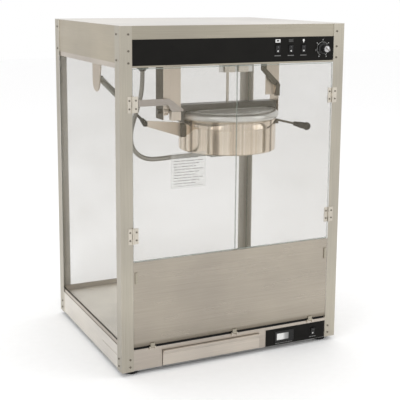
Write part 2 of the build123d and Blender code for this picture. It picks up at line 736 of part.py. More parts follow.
def crossbar():
    """An inverted channel over the kettle, with an end cheek and a trunnion at each side."""
    y0, y1 = KETTLE_Y - BAR_HALF_WIDTH, KETTLE_Y + BAR_HALF_WIDTH
    bar = block(BAR_LEFT, BAR_RIGHT, y0, y1, BAR_BOTTOM, BAR_TOP)
    bar = bar - block(BAR_LEFT + 3, BAR_RIGHT - 3, y0 + 2, y1 - 2, BAR_BOTTOM - 1, BAR_TOP - 2)
    bore = centre_disc(BAR_BOTTOM, BAR_TOP + 1, SHAFT_RADIUS + BORE_PLAY)
    left = rod((-160, KETTLE_Y, TILT_Z), (BAR_LEFT + 3, KETTLE_Y, TILT_Z), TRUNNION_RADIUS)
    right = rod((BAR_RIGHT - 3, KETTLE_Y, TILT_Z), (279, KETTLE_Y, TILT_Z), TRUNNION_RADIUS)
    cheeks = block(BAR_LEFT, BAR_LEFT + 20, y0, y1, RIM_BOTTOM - 8, BAR_BOTTOM + 1)
    cheeks = cheeks + block(BAR_RIGHT - 20, BAR_RIGHT, y0, y1, RIM_BOTTOM - 8, BAR_BOTTOM + 1)
    cheeks = cheeks - centre_disc(RIM_BOTTOM - 9, RIM_TOP + 0.4, RIM_OUTER)
    return bar + cheeks + left + right - bore


def lid(side):
    """A half-disc lid; side is -1 for the front one and 1 for the rear one."""
    z0, z1 = LID_BOTTOM, LID_BOTTOM + 1.6
    plate = centre_disc(z0, z1, LID_RADIUS)
    edge = BAR_HALF_WIDTH + 4.2
    y0, y1 = sorted((KETTLE_Y + side * edge, KETTLE_Y + side * 200))
    plate = plate & block(-200, 400, y0, y1, z0 - 1, z1 + 1)
    barrel_y = KETTLE_Y + side * LID_AXIS
    reach = LID_RADIUS - 30
    barrel = rod((KETTLE_X - reach, barrel_y, LID_AXIS_Z), (KETTLE_X + reach, barrel_y, LID_AXIS_Z), 2.2)
    return plate + barrel


def strut_arm():
    """The tapered arm from the kettle's left side to the gas spring, with its strap and end tab."""
    root = Vector(-74, -70, 0)
    tip = Vector(SPRING_X + 4, SPRING_LOW[0] + 2, 0)
    along = (tip - root).normalized()
    length = (tip - root).length
    outline = [(0, 673), (0, 720), (length, 745), (length, 727)]
    points = [(root.X + along.X * s, root.Y + along.Y * s, z) for s, z in outline]
    face = make_face(Polyline(*points, close=True))
    plate = extrude(face, 3, dir=(along.Y, -along.X, 0))
    tab = block(SPRING_X + 2, SPRING_X + 5, SPRING_LOW[0] - 9, SPRING_LOW[0] + 5, 727, 745)
    strap = block(-80, -69, KETTLE_Y - 12, KETTLE_Y + 10, 673, 719)
    strap = fillet(strap.edges().filter_by(Axis.X), 6)
    return plate + tab + strap - centre_disc(660, 730, SHELL_RADIUS)


def along_handle(distance, z):
    """A point out from the kettle's axis in the handle's direction."""
    return (KETTLE_X + distance * math.cos(HANDLE_ANGLE), KETTLE_Y + distance * math.sin(HANDLE_ANGLE), z)


def handle_rod():
    """The steel rod and the dark foot under the rim that it screws into."""
    bar = rod(along_handle(SHELL_RADIUS - 2, 727.4), along_handle(232, 714), 3.4)
    foot = rod(along_handle(SHELL_RADIUS - 3, 722), along_handle(SHELL_RADIUS + 9, 722), 8)
    return bar + foot - centre_disc(600, 760, SHELL_RADIUS)


def handle_grip():
    """A long tapered grip with a ball end, bored for the rod."""
    cone = Cone(7.5, 12, 44, align=(Align.CENTER, Align.CENTER, Align.MIN))
    ball = Pos(0, 0, 44) * Sphere(13)
    start, end = Vector(*along_handle(218, 716.5)), Vector(*along_handle(262, 708.5))
    grip = Plane(origin=start, z_dir=end - start) * (cone + ball)
    return grip - handle_rod()


def stirrer():
    """The stirrer shaft with its cross bar on top and two blades in the pan."""
    top = HEADER_BOTTOM - CLAW_GAP
    shaft = centre_disc(PAN_FLOOR + 1, top, SHAFT_RADIUS)
    blades = Pos(KETTLE_X, KETTLE_Y, PAN_FLOOR + 5) * Box(2 * PAN_RADIUS - 40, 12, 2)
    tips = [
        Pos(KETTLE_X + x, KETTLE_Y, PAN_FLOOR + 9) * Box(2, 22, 9) for x in (-124, 124)
    ]
    dog = Pos(KETTLE_X, KETTLE_Y, top - 4) * Box(12, 9, 8)
    return shaft + blades + tips + dog


# ---- gas spring ---------------------------------------------------------------------------------
def spring_point(distance):
    """A point on the spring's line, measured from its upper stud."""
    high = Vector(SPRING_X, *SPRING_HIGH)
    low = Vector(SPRING_X, *SPRING_LOW)
    return tuple(high + (low - high).normalized() * distance)


def spring_length():
    return math.dist(SPRING_LOW, SPRING_HIGH)


def spring_bracket():
    """The hanging plate with a rounded foot that carries the spring's upper stud."""
    y, z = SPRING_HIGH
    x0, x1 = SPRING_X - 17, SPRING_X - 14
    low, radius = z - 7, 36
    outline = [(y - 62, HEADER_BOTTOM), (y + radius, HEADER_BOTTOM), (y + radius, low), (y - radius, low)]
    plate = plate_yz(outline, x0, x1)
    nose = rod((x0, y, low), (x1, y, low), radius)
    foot = block(x0, x1 + 22, y - 62, y + radius, HEADER_BOTTOM - 3, HEADER_BOTTOM)
    stud = rod((x1, y, z), (SPRING_X + 7, y, z), 4)
    washer = rod((SPRING_X + 7, y, z), (SPRING_X + 9, y, z), 7)
    return plate + nose + foot + stud + washer


def spring_cylinder():
    """The gas spring's tube and its upper eye."""
    start, end = spring_point(13), spring_point(SPRING_CYLINDER_LENGTH)
    y, z = SPRING_HIGH
    tube = rod(start, end, CYLINDER_RADIUS)
    eye = rod((SPRING_X - 6, y, z), (SPRING_X + 6, y, z), 11)
    neck = rod(spring_point(6), spring_point(16), 6)
    stud_bore = rod((SPRING_X - 10, y, z), (SPRING_X + 10, y, z), 4 + BORE_PLAY)
    rod_bore = rod(spring_point(20), spring_point(SPRING_CYLINDER_LENGTH + 1), SPRING_ROD_RADIUS + BORE_PLAY)
    return eye + neck + tube - stud_bore - rod_bore


def spring_rod():
    """The gas spring's rod, its socket and the lower stud."""
    full = spring_length()
    shaft = rod(spring_point(SPRING_CYLINDER_LENGTH - 90), spring_point(full - 20), SPRING_ROD_RADIUS)
    socket = rod(spring_point(full - 30), spring_point(full - 15), 7.5)
    y, z = SPRING_LOW
    eye = rod((SPRING_X - 7, y, z), (SPRING_X + 1.4, y, z), 8.5)
    stud = rod((SPRING_X - 9.5, y, z), (SPRING_X - 7, y, z), 5)
    neck = block(SPRING_X - 7, SPRING_X + 1.4, y + 5, y + 18, z - 3, z + 7)
    return shaft + socket + neck + eye + stud


# ---- conduit ------------------------------------------------------------------------------------
def route_radii(points):
    """The largest arc that each corner's two runs allow."""
    radii = []
    for before, here, after in zip(points, points[1:], points[2:]):
        run_in, run_out = Vector(*here) - Vector(*before), Vector(*after) - Vector(*here)
        half_turn = math.radians(run_in.get_angle(run_out)) / 2
        radii.append(0.45 * min(run_in.length, run_out.length) / math.tan(half_turn))
    return radii


def conduit():
    """The armoured conduit from the header's gland to the box under the kettle."""
    radii = route_radii(CONDUIT_ROUTE)
    print("conduit radii", [round(r) for r in radii])
    path = FilletPolyline(*CONDUIT_ROUTE, radius=radii)
    start = Plane(origin=CONDUIT_ROUTE[0], z_dir=Vector(*CONDUIT_ROUTE[1]) - Vector(*CONDUIT_ROUTE[0]))
    tube = sweep(start * Circle(CONDUIT_RADIUS), path=path)
    section = math.pi * CONDUIT_RADIUS**2
    whole = section * path.length
    print("conduit length", round(path.length), "volume", round(tube.volume), "of", round(whole))
    return tube


def conduit_gland():
    """The black strain relief under the header."""
    x, y, low = CONDUIT_ROUTE[0]
    nut = disc(x, y, low + 8, HEADER_BOTTOM, 19)
    taper = Pos(x, y, low + 4) * Cone(9.5, 15, 8)
    return nut + taper


# ---- fasteners and label ------------------------------------------------------------------------
def cabinet_screws():
    """The screws that hold the header and the base to the corner angles."""
    made = []
    for side in (-1, 1):
        x = side * (RIGHT - 27)
        for z in (1016, 969, 935, 52, 29):
            made.append(pan_head(x, FRONT, z, (0, -1, 0)))
            made.append(pan_head(x, REAR, z, (0, 1, 0)))
        for y in (FRONT + 25, REAR - 25):
            for z in (943, 1016, 52, 29):
                made.append(pan_head(side * RIGHT, y, z, (side, 0, 0)))
    return group(made)


def instruction_label():
    """A plain paper card stuck to the inside of the left pane."""
    return block(-215, -100, FRONT + 1 + GLASS, FRONT + 1.3 + GLASS, 560, 668)


# ---- write every part ---------------------------------------------------------------------------
SIDES = {"left": -1, "right": 1}
ENDS = (-1, 1)

save("corner_posts", group([corner_post(side, end) for side in SIDES.values() for end in ENDS]))
save("rubber_feet", feet())
save("base_bottom", base_bottom())
save("base_front", base_front())
save("base_wrap", group([base_side(-1), base_side(1), base_rear(), access_plate()]))
save("deck", deck())
save("deck_heater", deck_heater())
save("top_cover", top_cover())
save("header_front", header_front())
save("header_wrap", group([header_side(-1), header_side(1), header_rear()]))
save("header_floor", header_floor())
save("control_panel", control_panel())
save("fixed_glass", group([side_glass(-1), side_glass(1), rear_glass()]))
save("glass_channels", group(glass_channels(True) + glass_channels(False)))
post_hinge_pieces = hinge_pins()
for side in SIDES.values():
    post_hinge_pieces += hinge_leaves(side, False) + hinge_screws(side, False)
save("post_hinges", group(post_hinge_pieces))
save("door_catch", group([catch_bracket()] + catch_magnets()))
save("panel_hinge_brackets", panel_hinge_brackets())
save("drawer_runners", drawer_runners())
save("lower_control_panel", lower_panel())
save("temperature_display", group([temperature_display(), display_lens()]))
save("power_inlet", power_inlet())
save("gear_motor", gear_motor())
save("heat_lamp", group([lamp_holder(), lamp_bulb()]))
save("kettle_hangers", group([hanger_left(), hanger_right(), hanger_brace()]))
save("pivot_bearings", group([pivot_hub(-149, -125), pivot_hub(263, 268), pivot_clamp()]))
save("conduit_arm", conduit_arm())
save("spring_bracket", spring_bracket())
save("conduit", conduit())
save("conduit_gland", conduit_gland())
save("cabinet_screws", cabinet_screws())
housings = [switch_housing(x, SWITCH_Z) for x in SWITCH_XS.values()]
housings += [switch_housing(WARMER_SWITCH_X, WARMER_SWITCH_Z), timer_housing()]
save("switch_housings", group(housings))
for name, side in SIDES.items():
    save(f"door_glass_{name}", door_glass(side))
    hinge_pieces = hinge_leaves(side, True) + hinge_screws(side, True) + [door_strike(side)]
    save(f"door_hinges_{name}", group(hinge_pieces))
save("instruction_label", instruction_label())
save("drop_front", drop_front())
save("drop_front_fittings", group(panel_hinge_tabs() + panel_latches() + [door_rest_clip()]))
save("drawer_tray", drawer_tray())
save("drawer_front", drawer_front())
save("kettle_shell", kettle_shell())
save("kettle_pan", kettle_pan())
save("kettle_rim", kettle_rim())
save("kettle_heater", kettle_heater())
save("kettle_wire_box", kettle_wire_box())
save("crossbar", crossbar())
save("strut_arm", strut_arm())
save("handle_rod", handle_rod())
save("handle_grip", handle_grip())
save("lid_front", lid(-1))
save("lid_rear", lid(1))
save("stirrer", stirrer())
save("drive_claw", drive_claw())
save("spring_cylinder", spring_cylinder())
save("spring_rod", spring_rod())
for name, x in SWITCH_XS.items():
    save(f"switch_{name}", rocker(x, SWITCH_Z))
save("switch_warmer", rocker(WARMER_SWITCH_X, WARMER_SWITCH_Z))
save("timer_knob", timer_knob())
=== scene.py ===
import math

import bmesh
import bpy
from mathutils import Matrix, Quaternion, Vector


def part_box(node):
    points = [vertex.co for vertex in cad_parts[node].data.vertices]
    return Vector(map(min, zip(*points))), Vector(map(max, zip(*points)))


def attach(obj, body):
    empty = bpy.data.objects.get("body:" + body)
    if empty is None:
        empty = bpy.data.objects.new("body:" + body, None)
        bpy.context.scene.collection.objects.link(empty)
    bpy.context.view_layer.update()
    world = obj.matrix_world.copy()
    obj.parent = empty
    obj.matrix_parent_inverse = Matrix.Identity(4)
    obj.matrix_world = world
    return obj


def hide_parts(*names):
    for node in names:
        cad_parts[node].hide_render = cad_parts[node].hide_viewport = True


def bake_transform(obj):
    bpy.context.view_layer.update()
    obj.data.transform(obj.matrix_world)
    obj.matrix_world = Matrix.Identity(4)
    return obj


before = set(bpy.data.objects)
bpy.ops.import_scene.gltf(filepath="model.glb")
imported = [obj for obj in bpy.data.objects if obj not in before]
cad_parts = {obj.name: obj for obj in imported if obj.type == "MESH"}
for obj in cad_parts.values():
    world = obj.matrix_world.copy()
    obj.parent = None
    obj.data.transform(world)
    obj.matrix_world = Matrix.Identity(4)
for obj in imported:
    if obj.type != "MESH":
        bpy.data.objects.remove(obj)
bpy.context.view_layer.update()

PRINT_LIFT = 0.0001  # metres between a panel's face and the print on it
PRINT_THICKNESS = 0.00025


# ---- node helpers -------------------------------------------------------------------------------
class Nodes:
    """Builds one material's node tree with short calls."""

    def __init__(self, name):
        self.mat = bpy.data.materials.new(name)
        self.mat.use_nodes = True
        self.tree = self.mat.node_tree
        self.tree.nodes.clear()
        self.out = self.tree.nodes.new("ShaderNodeOutputMaterial")
        self.shader = self.tree.nodes.new("ShaderNodeBsdfPrincipled")
        self.tree.links.new(self.shader.outputs[0], self.out.inputs[0])

    def add(self, kind, **values):
        node = self.tree.nodes.new(kind)
        for key, value in values.items():
            if key in node.inputs:
                node.inputs[key].default_value = value
            else:
                setattr(node, key, value)
        return node

    def link(self, source, target):
        self.tree.links.new(source, target)

    def set(self, **values):
        for key, value in values.items():
            self.shader.inputs[key.replace("_", " ")].default_value = value

    def place(self, scale=(1, 1, 1)):
        """Object coordinates in metres, stretched by scale."""
        coords = self.add("ShaderNodeTexCoord")
        mapping = self.add("ShaderNodeMapping")
        mapping.inputs["Scale"].default_value = scale
        self.link(coords.outputs["Object"], mapping.inputs["Vector"])
        return mapping.outputs[0]

    def noise(self, vector, scale, detail=3.0, rough=0.5):
        node = self.add("ShaderNodeTexNoise", Scale=scale, Detail=detail, Roughness=rough)
        self.link(vector, node.inputs["Vector"])
        return node.outputs["Fac"]

    def ramp(self, factor, *stops):
        """A colour ramp through (position, colour) stops."""
        node = self.add("ShaderNodeValToRGB")
        elements = node.color_ramp.elements
        while len(elements) < len(stops):
            elements.new(0.5)
        for element, (position, colour) in zip(elements, stops):
            element.position = position
            element.color = (*colour, 1)
        self.link(factor, node.inputs[0])
        return node.outputs[0]

    def blend(self, factor, first, second, mode="MIX"):
        """Mixes two colours, each a socket or a plain colour."""
        node = self.add("ShaderNodeMix", data_type="RGBA", blend_type=mode)
        for socket, value in ((0, factor), (6, first), (7, second)):
            if isinstance(value, (tuple, float, int)):
                node.inputs[socket].default_value = (*value, 1) if isinstance(value, tuple) else value
            else:
                self.link(value, node.inputs[socket])
        return node.outputs[2]

    def range(self, factor, low, high, out_low, out_high):
        node = self.add("ShaderNodeMapRange")
        limits = (("From Min", low), ("From Max", high), ("To Min", out_low), ("To Max", out_high))
        for key, value in limits:
            node.inputs[key].default_value = value
        self.link(factor, node.inputs["Value"])
        return node.outputs[0]

    def bump(self, height, strength, distance):
        node = self.add("ShaderNodeBump", Strength=strength, Distance=distance)
        self.link(height, node.inputs["Height"])
        self.link(node.outputs[0], self.shader.inputs["Normal"])


def tint(colour, factor):
    return tuple(min(1.0, c * factor) for c in colour)


# ---- materials ----------------------------------------------------------------------------------
SMUDGE_STRETCH = {"x": (1.5, 1.5, 14), "z": (14, 14, 1.5), "y": (14, 1.5, 14), "top": (1.5, 14, 1.5)}
GRAIN_ACROSS = {"x": (3, 3, 420), "z": (420, 420, 3), "y": (420, 3, 420), "top": (3, 420, 3)}


def brushed_steel(name, colour, grain, rough, contrast, hem=False, metal=1.0):
    """Rolled stainless: fine drawn lines along one direction, cloudy tone and faint handling marks.
    hem paints shade on the sheet's rolled lower edge, where it faces the dark below."""
    n = Nodes(name)
    lines = n.noise(n.place(GRAIN_ACROSS[grain]), 2.4, 2.0, 0.6)
    clouds = n.noise(n.place(), 3.2, 3.0, 0.5)
    smudges = n.noise(n.place(SMUDGE_STRETCH[grain]), 2.0, 2.0, 0.5)
    base = n.ramp(lines, (0.25, tint(colour, 1 - contrast)), (0.75, tint(colour, 1 + contrast)))
    tone = n.ramp(clouds, (0.3, (0.82, 0.82, 0.83)), (0.7, (1.0, 1.0, 0.99)))
    toned = n.blend(1.0, base, tone, "MULTIPLY")
    # painted shade: the drop front darkens towards its rolled lower edge
    if hem:
        toned = n.blend(1.0, toned, hem_shade(n, "drop_front"), "MULTIPLY")
    n.link(toned, n.shader.inputs["Base Color"])
    wear = n.range(smudges, 0.3, 0.7, rough - 0.02, rough + 0.05)
    n.link(wear, n.shader.inputs["Roughness"])
    n.set(Metallic=metal, Anisotropic=0.45)
    n.bump(lines, 0.035, 0.0002)
    return n.mat


def hem_shade(n, node):
    """Painted shade: darker towards the folded bottom edge of a node, where the sheet rolls under and
    faces the dark below.
    """
    low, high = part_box(node)
    coords = n.add("ShaderNodeTexCoord")
    split = n.add("ShaderNodeSeparateXYZ")
    n.link(coords.outputs["Object"], split.inputs[0])
    up = n.range(split.outputs[2], low[2], high[2], 0.0, 1.0)
    return n.ramp(up, (0.0, (0.45, 0.44, 0.42)), (0.035, (0.62, 0.61, 0.58)),
                  (0.06, (0.92, 0.92, 0.91)), (0.25, (1.0, 1.0, 1.0)), (0.6, (0.93, 0.93, 0.93)),
                  (1.0, (1.0, 1.0, 0.99)))


def polished_steel(name, colour, rough, metal):
    """Polished stainless with faint upright draw marks."""
    n = Nodes(name)
    marks = n.noise(n.place((60, 60, 1.5)), 2.0, 3.0, 0.5)
    haze = n.noise(n.place(), 14.0, 4.0, 0.6)
    base = n.ramp(marks, (0.3, tint(colour, 0.86)), (0.7, tint(colour, 1.06)))
    n.link(base, n.shader.inputs["Base Color"])
    n.link(n.range(haze, 0.3, 0.75, rough, rough + 0.11), n.shader.inputs["Roughness"])
    n.set(Metallic=metal)
    n.bump(marks, 0.05, 0.001)
    return n.mat


def cast_metal(name, colour, rough, grain):
    """Matte metal with a fine pebbled skin and slight stains."""
    n = Nodes(name)
    skin = n.noise(n.place(), grain, 4.0, 0.6)
    stains = n.noise(n.place(), 9.0, 4.0, 0.6)
    base = n.ramp(stains, (0.3, tint(colour, 0.86)), (0.7, tint(colour, 1.05)))
    n.link(base, n.shader.inputs["Base Color"])
    n.link(n.range(skin, 0.3, 0.7, rough - 0.06, rough + 0.08), n.shader.inputs["Roughness"])
    n.set(Metallic=1.0)
    n.bump(skin, 0.12, 0.0003)
    return n.mat


def painted(name, colour, rough, grain, specular=0.5):
    """Paint or moulded plastic: a fine texture, dust in the low spots and small tone changes."""
    n = Nodes(name)
    skin = n.noise(n.place(), grain, 3.0, 0.55)
    dust = n.noise(n.place(), 18.0, 5.0, 0.6)
    base = n.ramp(dust, (0.35, tint(colour, 0.85)), (0.75, tint(colour, 1.25)))
    n.link(base, n.shader.inputs["Base Color"])
    n.link(n.range(dust, 0.3, 0.75, rough - 0.05, rough + 0.12), n.shader.inputs["Roughness"])
    n.shader.inputs["Specular IOR Level"].default_value = specular
    n.bump(skin, 0.10, 0.0002)
    return n.mat


def pane_glass(name, colour, alpha):
    """Clear glass as a thin veil: faint wiping marks change its density and gloss."""
    n = Nodes(name)
    wipes = n.noise(n.place((1, 1, 2.5)), 2.0, 2.0, 0.5)
    base = n.ramp(wipes, (0.3, tint(colour, 0.95)), (0.7, colour))
    n.link(base, n.shader.inputs["Base Color"])
    n.link(n.range(wipes, 0.3, 0.7, alpha * 0.8, alpha * 1.2), n.shader.inputs["Alpha"])
    n.link(n.range(wipes, 0.3, 0.7, 0.02, 0.03), n.shader.inputs["Roughness"])
    n.mat.surface_render_method = "BLENDED"
    return n.mat


def glass_edge(name):
    """The ground edge of a pane, greener and denser than its face."""
    n = Nodes(name)
    chips = n.noise(n.place(), 220.0, 3.0, 0.6)
    base = n.ramp(chips, (0.3, (0.20, 0.23, 0.20)), (0.7, (0.42, 0.46, 0.41)))
    n.link(base, n.shader.inputs["Base Color"])
    n.link(n.range(chips, 0.3, 0.7, 0.55, 0.75), n.shader.inputs["Alpha"])
    n.set(Roughness=0.35)
    return n.mat


def printed(name, colour, rough=0.5, alpha=1.0):
    """Screen-printed ink, slightly uneven; a low alpha makes a clear film."""
    n = Nodes(name)
    grain = n.noise(n.place(), 900.0, 2.0, 0.5)
    if alpha < 1.0:
        n.link(n.range(grain, 0.3, 0.7, alpha * 0.85, alpha * 1.15), n.shader.inputs["Alpha"])
    base = n.ramp(grain, (0.3, tint(colour, 0.85)), (0.7, colour))
    n.link(base, n.shader.inputs["Base Color"])
    n.link(n.range(grain, 0.3, 0.7, rough - 0.06, rough + 0.06), n.shader.inputs["Roughness"])
    return n.mat


def display_window(name):
    """The controller's window: pale on its left, fading to grey."""
    n = Nodes(name)
    low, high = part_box("temperature_display")
    coords = n.add("ShaderNodeTexCoord")
    split = n.add("ShaderNodeSeparateXYZ")
    n.link(coords.outputs["Object"], split.inputs[0])
    across = n.range(split.outputs[0], low[0], high[0], 0.0, 1.0)
    grain = n.noise(n.place(), 300.0, 3.0, 0.5)
    base = n.ramp(across, (0.12, (0.80, 0.80, 0.78)), (0.42, (0.78, 0.78, 0.77)),
                  (0.55, (0.36, 0.36, 0.36)), (0.72, (0.25, 0.25, 0.25)))
    tone = n.ramp(grain, (0.3, (0.9, 0.9, 0.9)), (0.7, (1, 1, 1)))
    n.link(n.blend(1.0, base, tone, "MULTIPLY"), n.shader.inputs["Base Color"])
    n.set(Roughness=0.12)
    n.shader.inputs["Coat Weight"].default_value = 0.4
    return n.mat


def frosted_lamp(name):
    n = Nodes(name)
    coat = n.noise(n.place(), 70.0, 3.0, 0.5)
    base = n.ramp(coat, (0.3, (0.85, 0.82, 0.74)), (0.7, (0.95, 0.93, 0.87)))
    n.link(base, n.shader.inputs["Base Color"])
    n.link(n.range(coat, 0.3, 0.7, 0.35, 0.5), n.shader.inputs["Roughness"])
    n.set(Subsurface_Weight=0.15)
    return n.mat


M = {
    "post": brushed_steel("post_steel", (0.475, 0.44, 0.37), "z", 0.33, 0.10),
    "post_inner": brushed_steel("post_inner_steel", (0.86, 0.83, 0.76), "z", 0.42, 0.07, metal=0.45),
    "front": brushed_steel("front_steel", (0.41, 0.375, 0.305), "x", 0.28, 0.10),
    # hem=True paints shade along the drop front's rolled lower edge
    "drop": brushed_steel("drop_front_steel", (0.43, 0.385, 0.325), "x", 0.27, 0.10, hem=True),
    "side": brushed_steel("side_steel", (0.46, 0.41, 0.325), "y", 0.36, 0.08),
    "base": brushed_steel("base_steel", (0.54, 0.485, 0.425), "x", 0.32, 0.10),
    "drawer": brushed_steel("drawer_steel", (0.66, 0.60, 0.53), "x", 0.30, 0.10),
    # painted light: the base's side is the base steel made paler, standing for the lit side of the base
    "lit_base_side": brushed_steel("base_side_steel", (0.80, 0.76, 0.70), "y", 0.36, 0.07),
    "top": brushed_steel("top_steel", (0.68, 0.65, 0.61), "top", 0.38, 0.06),
    "deck": brushed_steel("deck_steel", (0.78, 0.74, 0.66), "x", 0.36, 0.08),
    "bracket": brushed_steel("bracket_steel", (0.72, 0.63, 0.53), "z", 0.36, 0.08),
    "strut_plate": brushed_steel("strut_plate_steel", (0.86, 0.77, 0.67), "z", 0.40, 0.07, metal=0.6),
    # dark steel: the handle rod and the strut arm's strap, and painted shade on the hangers' side flange
    # and brace
    "dark_steel_and_shade": brushed_steel("dark_bracket_steel", (0.12, 0.108, 0.088), "z", 0.42, 0.15),
    "bar": brushed_steel("bar_steel", (0.11, 0.108, 0.098), "x", 0.30, 0.14),
    "arm": brushed_steel("arm_steel", (0.50, 0.455, 0.42), "x", 0.34, 0.10),
    "fitting": cast_metal("plated_fittings", (0.60, 0.555, 0.48), 0.30, 320.0),
    "screw": cast_metal("screw_steel", (0.20, 0.18, 0.15), 0.32, 500.0),
    "rim": cast_metal("spun_aluminium", (0.70, 0.69, 0.66), 0.34, 90.0),
    "strut": cast_metal("strut_metal", (0.26, 0.26, 0.22), 0.34, 300.0),
    "zinc": cast_metal("galvanised_sheet", (0.42, 0.42, 0.41), 0.46, 40.0),
    "lid": polished_steel("polished_lid", (0.86, 0.85, 0.81), 0.20, 0.35),
    "panel": painted("black_panel", (0.0085, 0.008, 0.007), 0.50, 500.0, 0.10),
    "plastic": painted("black_plastic", (0.010, 0.010, 0.010), 0.34, 700.0, 0.35),
    "rubber": painted("black_rubber", (0.012, 0.012, 0.012), 0.75, 300.0, 0.2),
    "motor": painted("motor_enamel", (0.16, 0.165, 0.17), 0.45, 240.0),
    "pane": pane_glass("pane_glass", (0.30, 0.265, 0.20), 0.115),
    "edge": glass_edge("pane_edge"),
    "card": printed("card_film", (0.70, 0.70, 0.66), 0.6, 0.16),
    "ink": printed("white_ink", (0.80, 0.80, 0.78)),
    "grey_ink": printed("grey_ink", (0.16, 0.16, 0.155)),
    "text_ink": printed("card_ink", (0.36, 0.355, 0.34), 0.6, 0.75),
    "window": display_window("display_window"),
    "lamp": frosted_lamp("frosted_lamp"),
    "conduit": cast_metal("conduit_steel", (0.36, 0.35, 0.32), 0.32, 260.0),
    "cap": cast_metal("cap_silver", (0.46, 0.455, 0.46), 0.26, 300.0),
}

NODE_MATERIALS = {
    "front": ["header_front", "drop_front_fittings"],
    "drop": ["drop_front"],
    "side": ["header_wrap"],
    "base": ["base_front", "glass_channels"],
    "lit_base_side": ["base_wrap"],
    "drawer": ["drawer_front"],
    "top": ["top_cover"],
    "deck": ["deck"],
    "bracket": ["spring_bracket"],
    "strut_plate": ["pivot_bearings"],
    "bar": ["crossbar"],
    "arm": ["conduit_arm"],
    "fitting": ["panel_hinge_brackets", "drive_claw", "stirrer"],
    "screw": ["cabinet_screws"],
    "rim": ["kettle_pan", "door_catch"],
    "strut": ["spring_cylinder"],
    "zinc": ["base_bottom", "deck_heater", "header_floor", "drawer_runners", "drawer_tray",
             "kettle_wire_box"],
    "lid": ["lid_front", "lid_rear"],
    "panel": ["control_panel", "lower_control_panel"],
    "plastic": ["power_inlet", "switch_housings", "switch_motor", "switch_kettle_heat", "switch_light",
                "switch_warmer", "temperature_display", "conduit_gland", "spring_rod"],
    "dark_steel_and_shade": ["handle_rod"],
    "rubber": ["rubber_feet"],
    "motor": ["gear_motor", "kettle_heater"],
    "lamp": ["heat_lamp"],
    "card": ["instruction_label"],
}


def dress_nodes():
    """One finish for each CAD node that keeps its own shape."""
    for key, nodes in NODE_MATERIALS.items():
        for name in nodes:
            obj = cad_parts[name]
            obj.data.materials.clear()
            obj.data.materials.append(M[key])


# ---- mesh helpers -------------------------------------------------------------------------------
def face_outwards(mesh):
    """Turns every face of a closed mesh to look outwards."""
    bm = bmesh.new()
    bm.from_mesh(mesh)
    bmesh.ops.recalc_face_normals(bm, faces=bm.faces)
    bm.to_mesh(mesh)
    bm.free()


def front_middle(low, high):
    """The (x, z) middle of a box as the front shows it."""
    return (low[0] + high[0]) / 2, (low[2] + high[2]) / 2


def add_piece(name, verts, faces, material, body, smooth=True):
    mesh = bpy.data.meshes.new(name)
    mesh.from_pydata([tuple(v) for v in verts], [], faces)
    mesh.validate()
    face_outwards(mesh)
    mesh.materials.append(material)
    mesh.polygons.foreach_set("use_smooth", [smooth] * len(mesh.polygons))
    obj = bpy.data.objects.new(name, mesh)
    bpy.context.collection.objects.link(obj)
    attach(obj, body)
    return obj


def lathe(profile, origin, axis, steps=64, closed=False):
    """Points and faces of a profile of (radius, height) turned about an axis through origin."""
    turn = Vector((0, 0, 1)).rotation_difference(Vector(axis)).to_matrix()
    verts, faces = [], []
    for k in range(steps):
        angle = 2 * math.pi * k / steps
        for radius, height in profile:
            point = Vector((radius * math.cos(angle), radius * math.sin(angle), height))
            verts.append(Vector(origin) + turn @ point)
    count = len(profile)
    spans = count if closed else count - 1
    for k in range(steps):
        for i in range(spans):
            j = (i + 1) % count
            a, b = k * count, ((k + 1) % steps) * count
            faces.append((a + i, a + j, b + j, b + i))
    return verts, faces


BOX_FACES = ((0, 1, 2, 3), (7, 6, 5, 4), (0, 4, 5, 1), (1, 5, 6, 2), (2, 6, 7, 3), (3, 7, 4, 0))


def flat_marks(name, boxes, y, material, body, thickness=PRINT_THICKNESS):
    """Printed marks: thin raised rectangles on a front surface at y, each (x0, x1, z0, z1)."""
    verts, faces = [], []
    for x0, x1, z0, z1 in boxes:
        base = len(verts)
        for depth in (y, y - thickness):
            verts += [(x0, depth, z0), (x1, depth, z0), (x1, depth, z1), (x0, depth, z1)]
        for face in BOX_FACES:
            faces.append(tuple(base + i for i in face))
    return add_piece(name, verts, faces, material, body, smooth=False)


# ---- glass with its own edges -------------------------------------------------------------------
def glass_with_edges(node, body):
    """The same pane as the CAD's, its narrow faces in the denser edge material."""
    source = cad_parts[node]
    mesh = source.data.copy()
    mesh.materials.clear()
    mesh.materials.append(M["pane"])
    mesh.materials.append(M["edge"])
    obj = bpy.data.objects.new(node + "_pane", mesh)
    bpy.context.collection.objects.link(obj)
    for face in mesh.polygons:
        normal = face.normal
        across = max(abs(normal.x), abs(normal.y))
        broad = face.area > 0.0005 and across > 0.9 and is_broad(mesh, face)
        face.material_index = 0 if broad else 1
    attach(obj, body)
    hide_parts(node)


def is_broad(mesh, face):
    """True for a pane's main faces: their two long sides are both over 20 mm."""
    points = [mesh.vertices[i].co for i in face.vertices]
    spans = [max(p[k] for p in points) - min(p[k] for p in points) for k in range(3)]
    return sorted(spans)[1] > 0.02


# ---- parts of a node in different finishes ------------------------------------------------------
def island_sizes(mesh):
    """For each face, the largest span of the closed part it belongs to."""
    parent = {}

    def find(key):
        while parent.setdefault(key, key) != key:
            parent[key] = parent[parent[key]]
            key = parent[key]
        return key

    keys = [tuple(round(c, 5) for c in v.co) for v in mesh.vertices]
    for face in mesh.polygons:
        first = find(keys[face.vertices[0]])
        for index in face.vertices[1:]:
            parent[find(keys[index])] = first
    spans = {}
    for key in set(keys):
        low, high = spans.setdefault(find(key), (list(key), list(key)))
        for axis in range(3):
            low[axis] = min(low[axis], key[axis])
            high[axis] = max(high[axis], key[axis])
    sizes = {root: max(h - l for l, h in zip(*pair)) for root, pair in spans.items()}
    return [sizes[find(keys[face.vertices[0]])] for face in mesh.polygons]


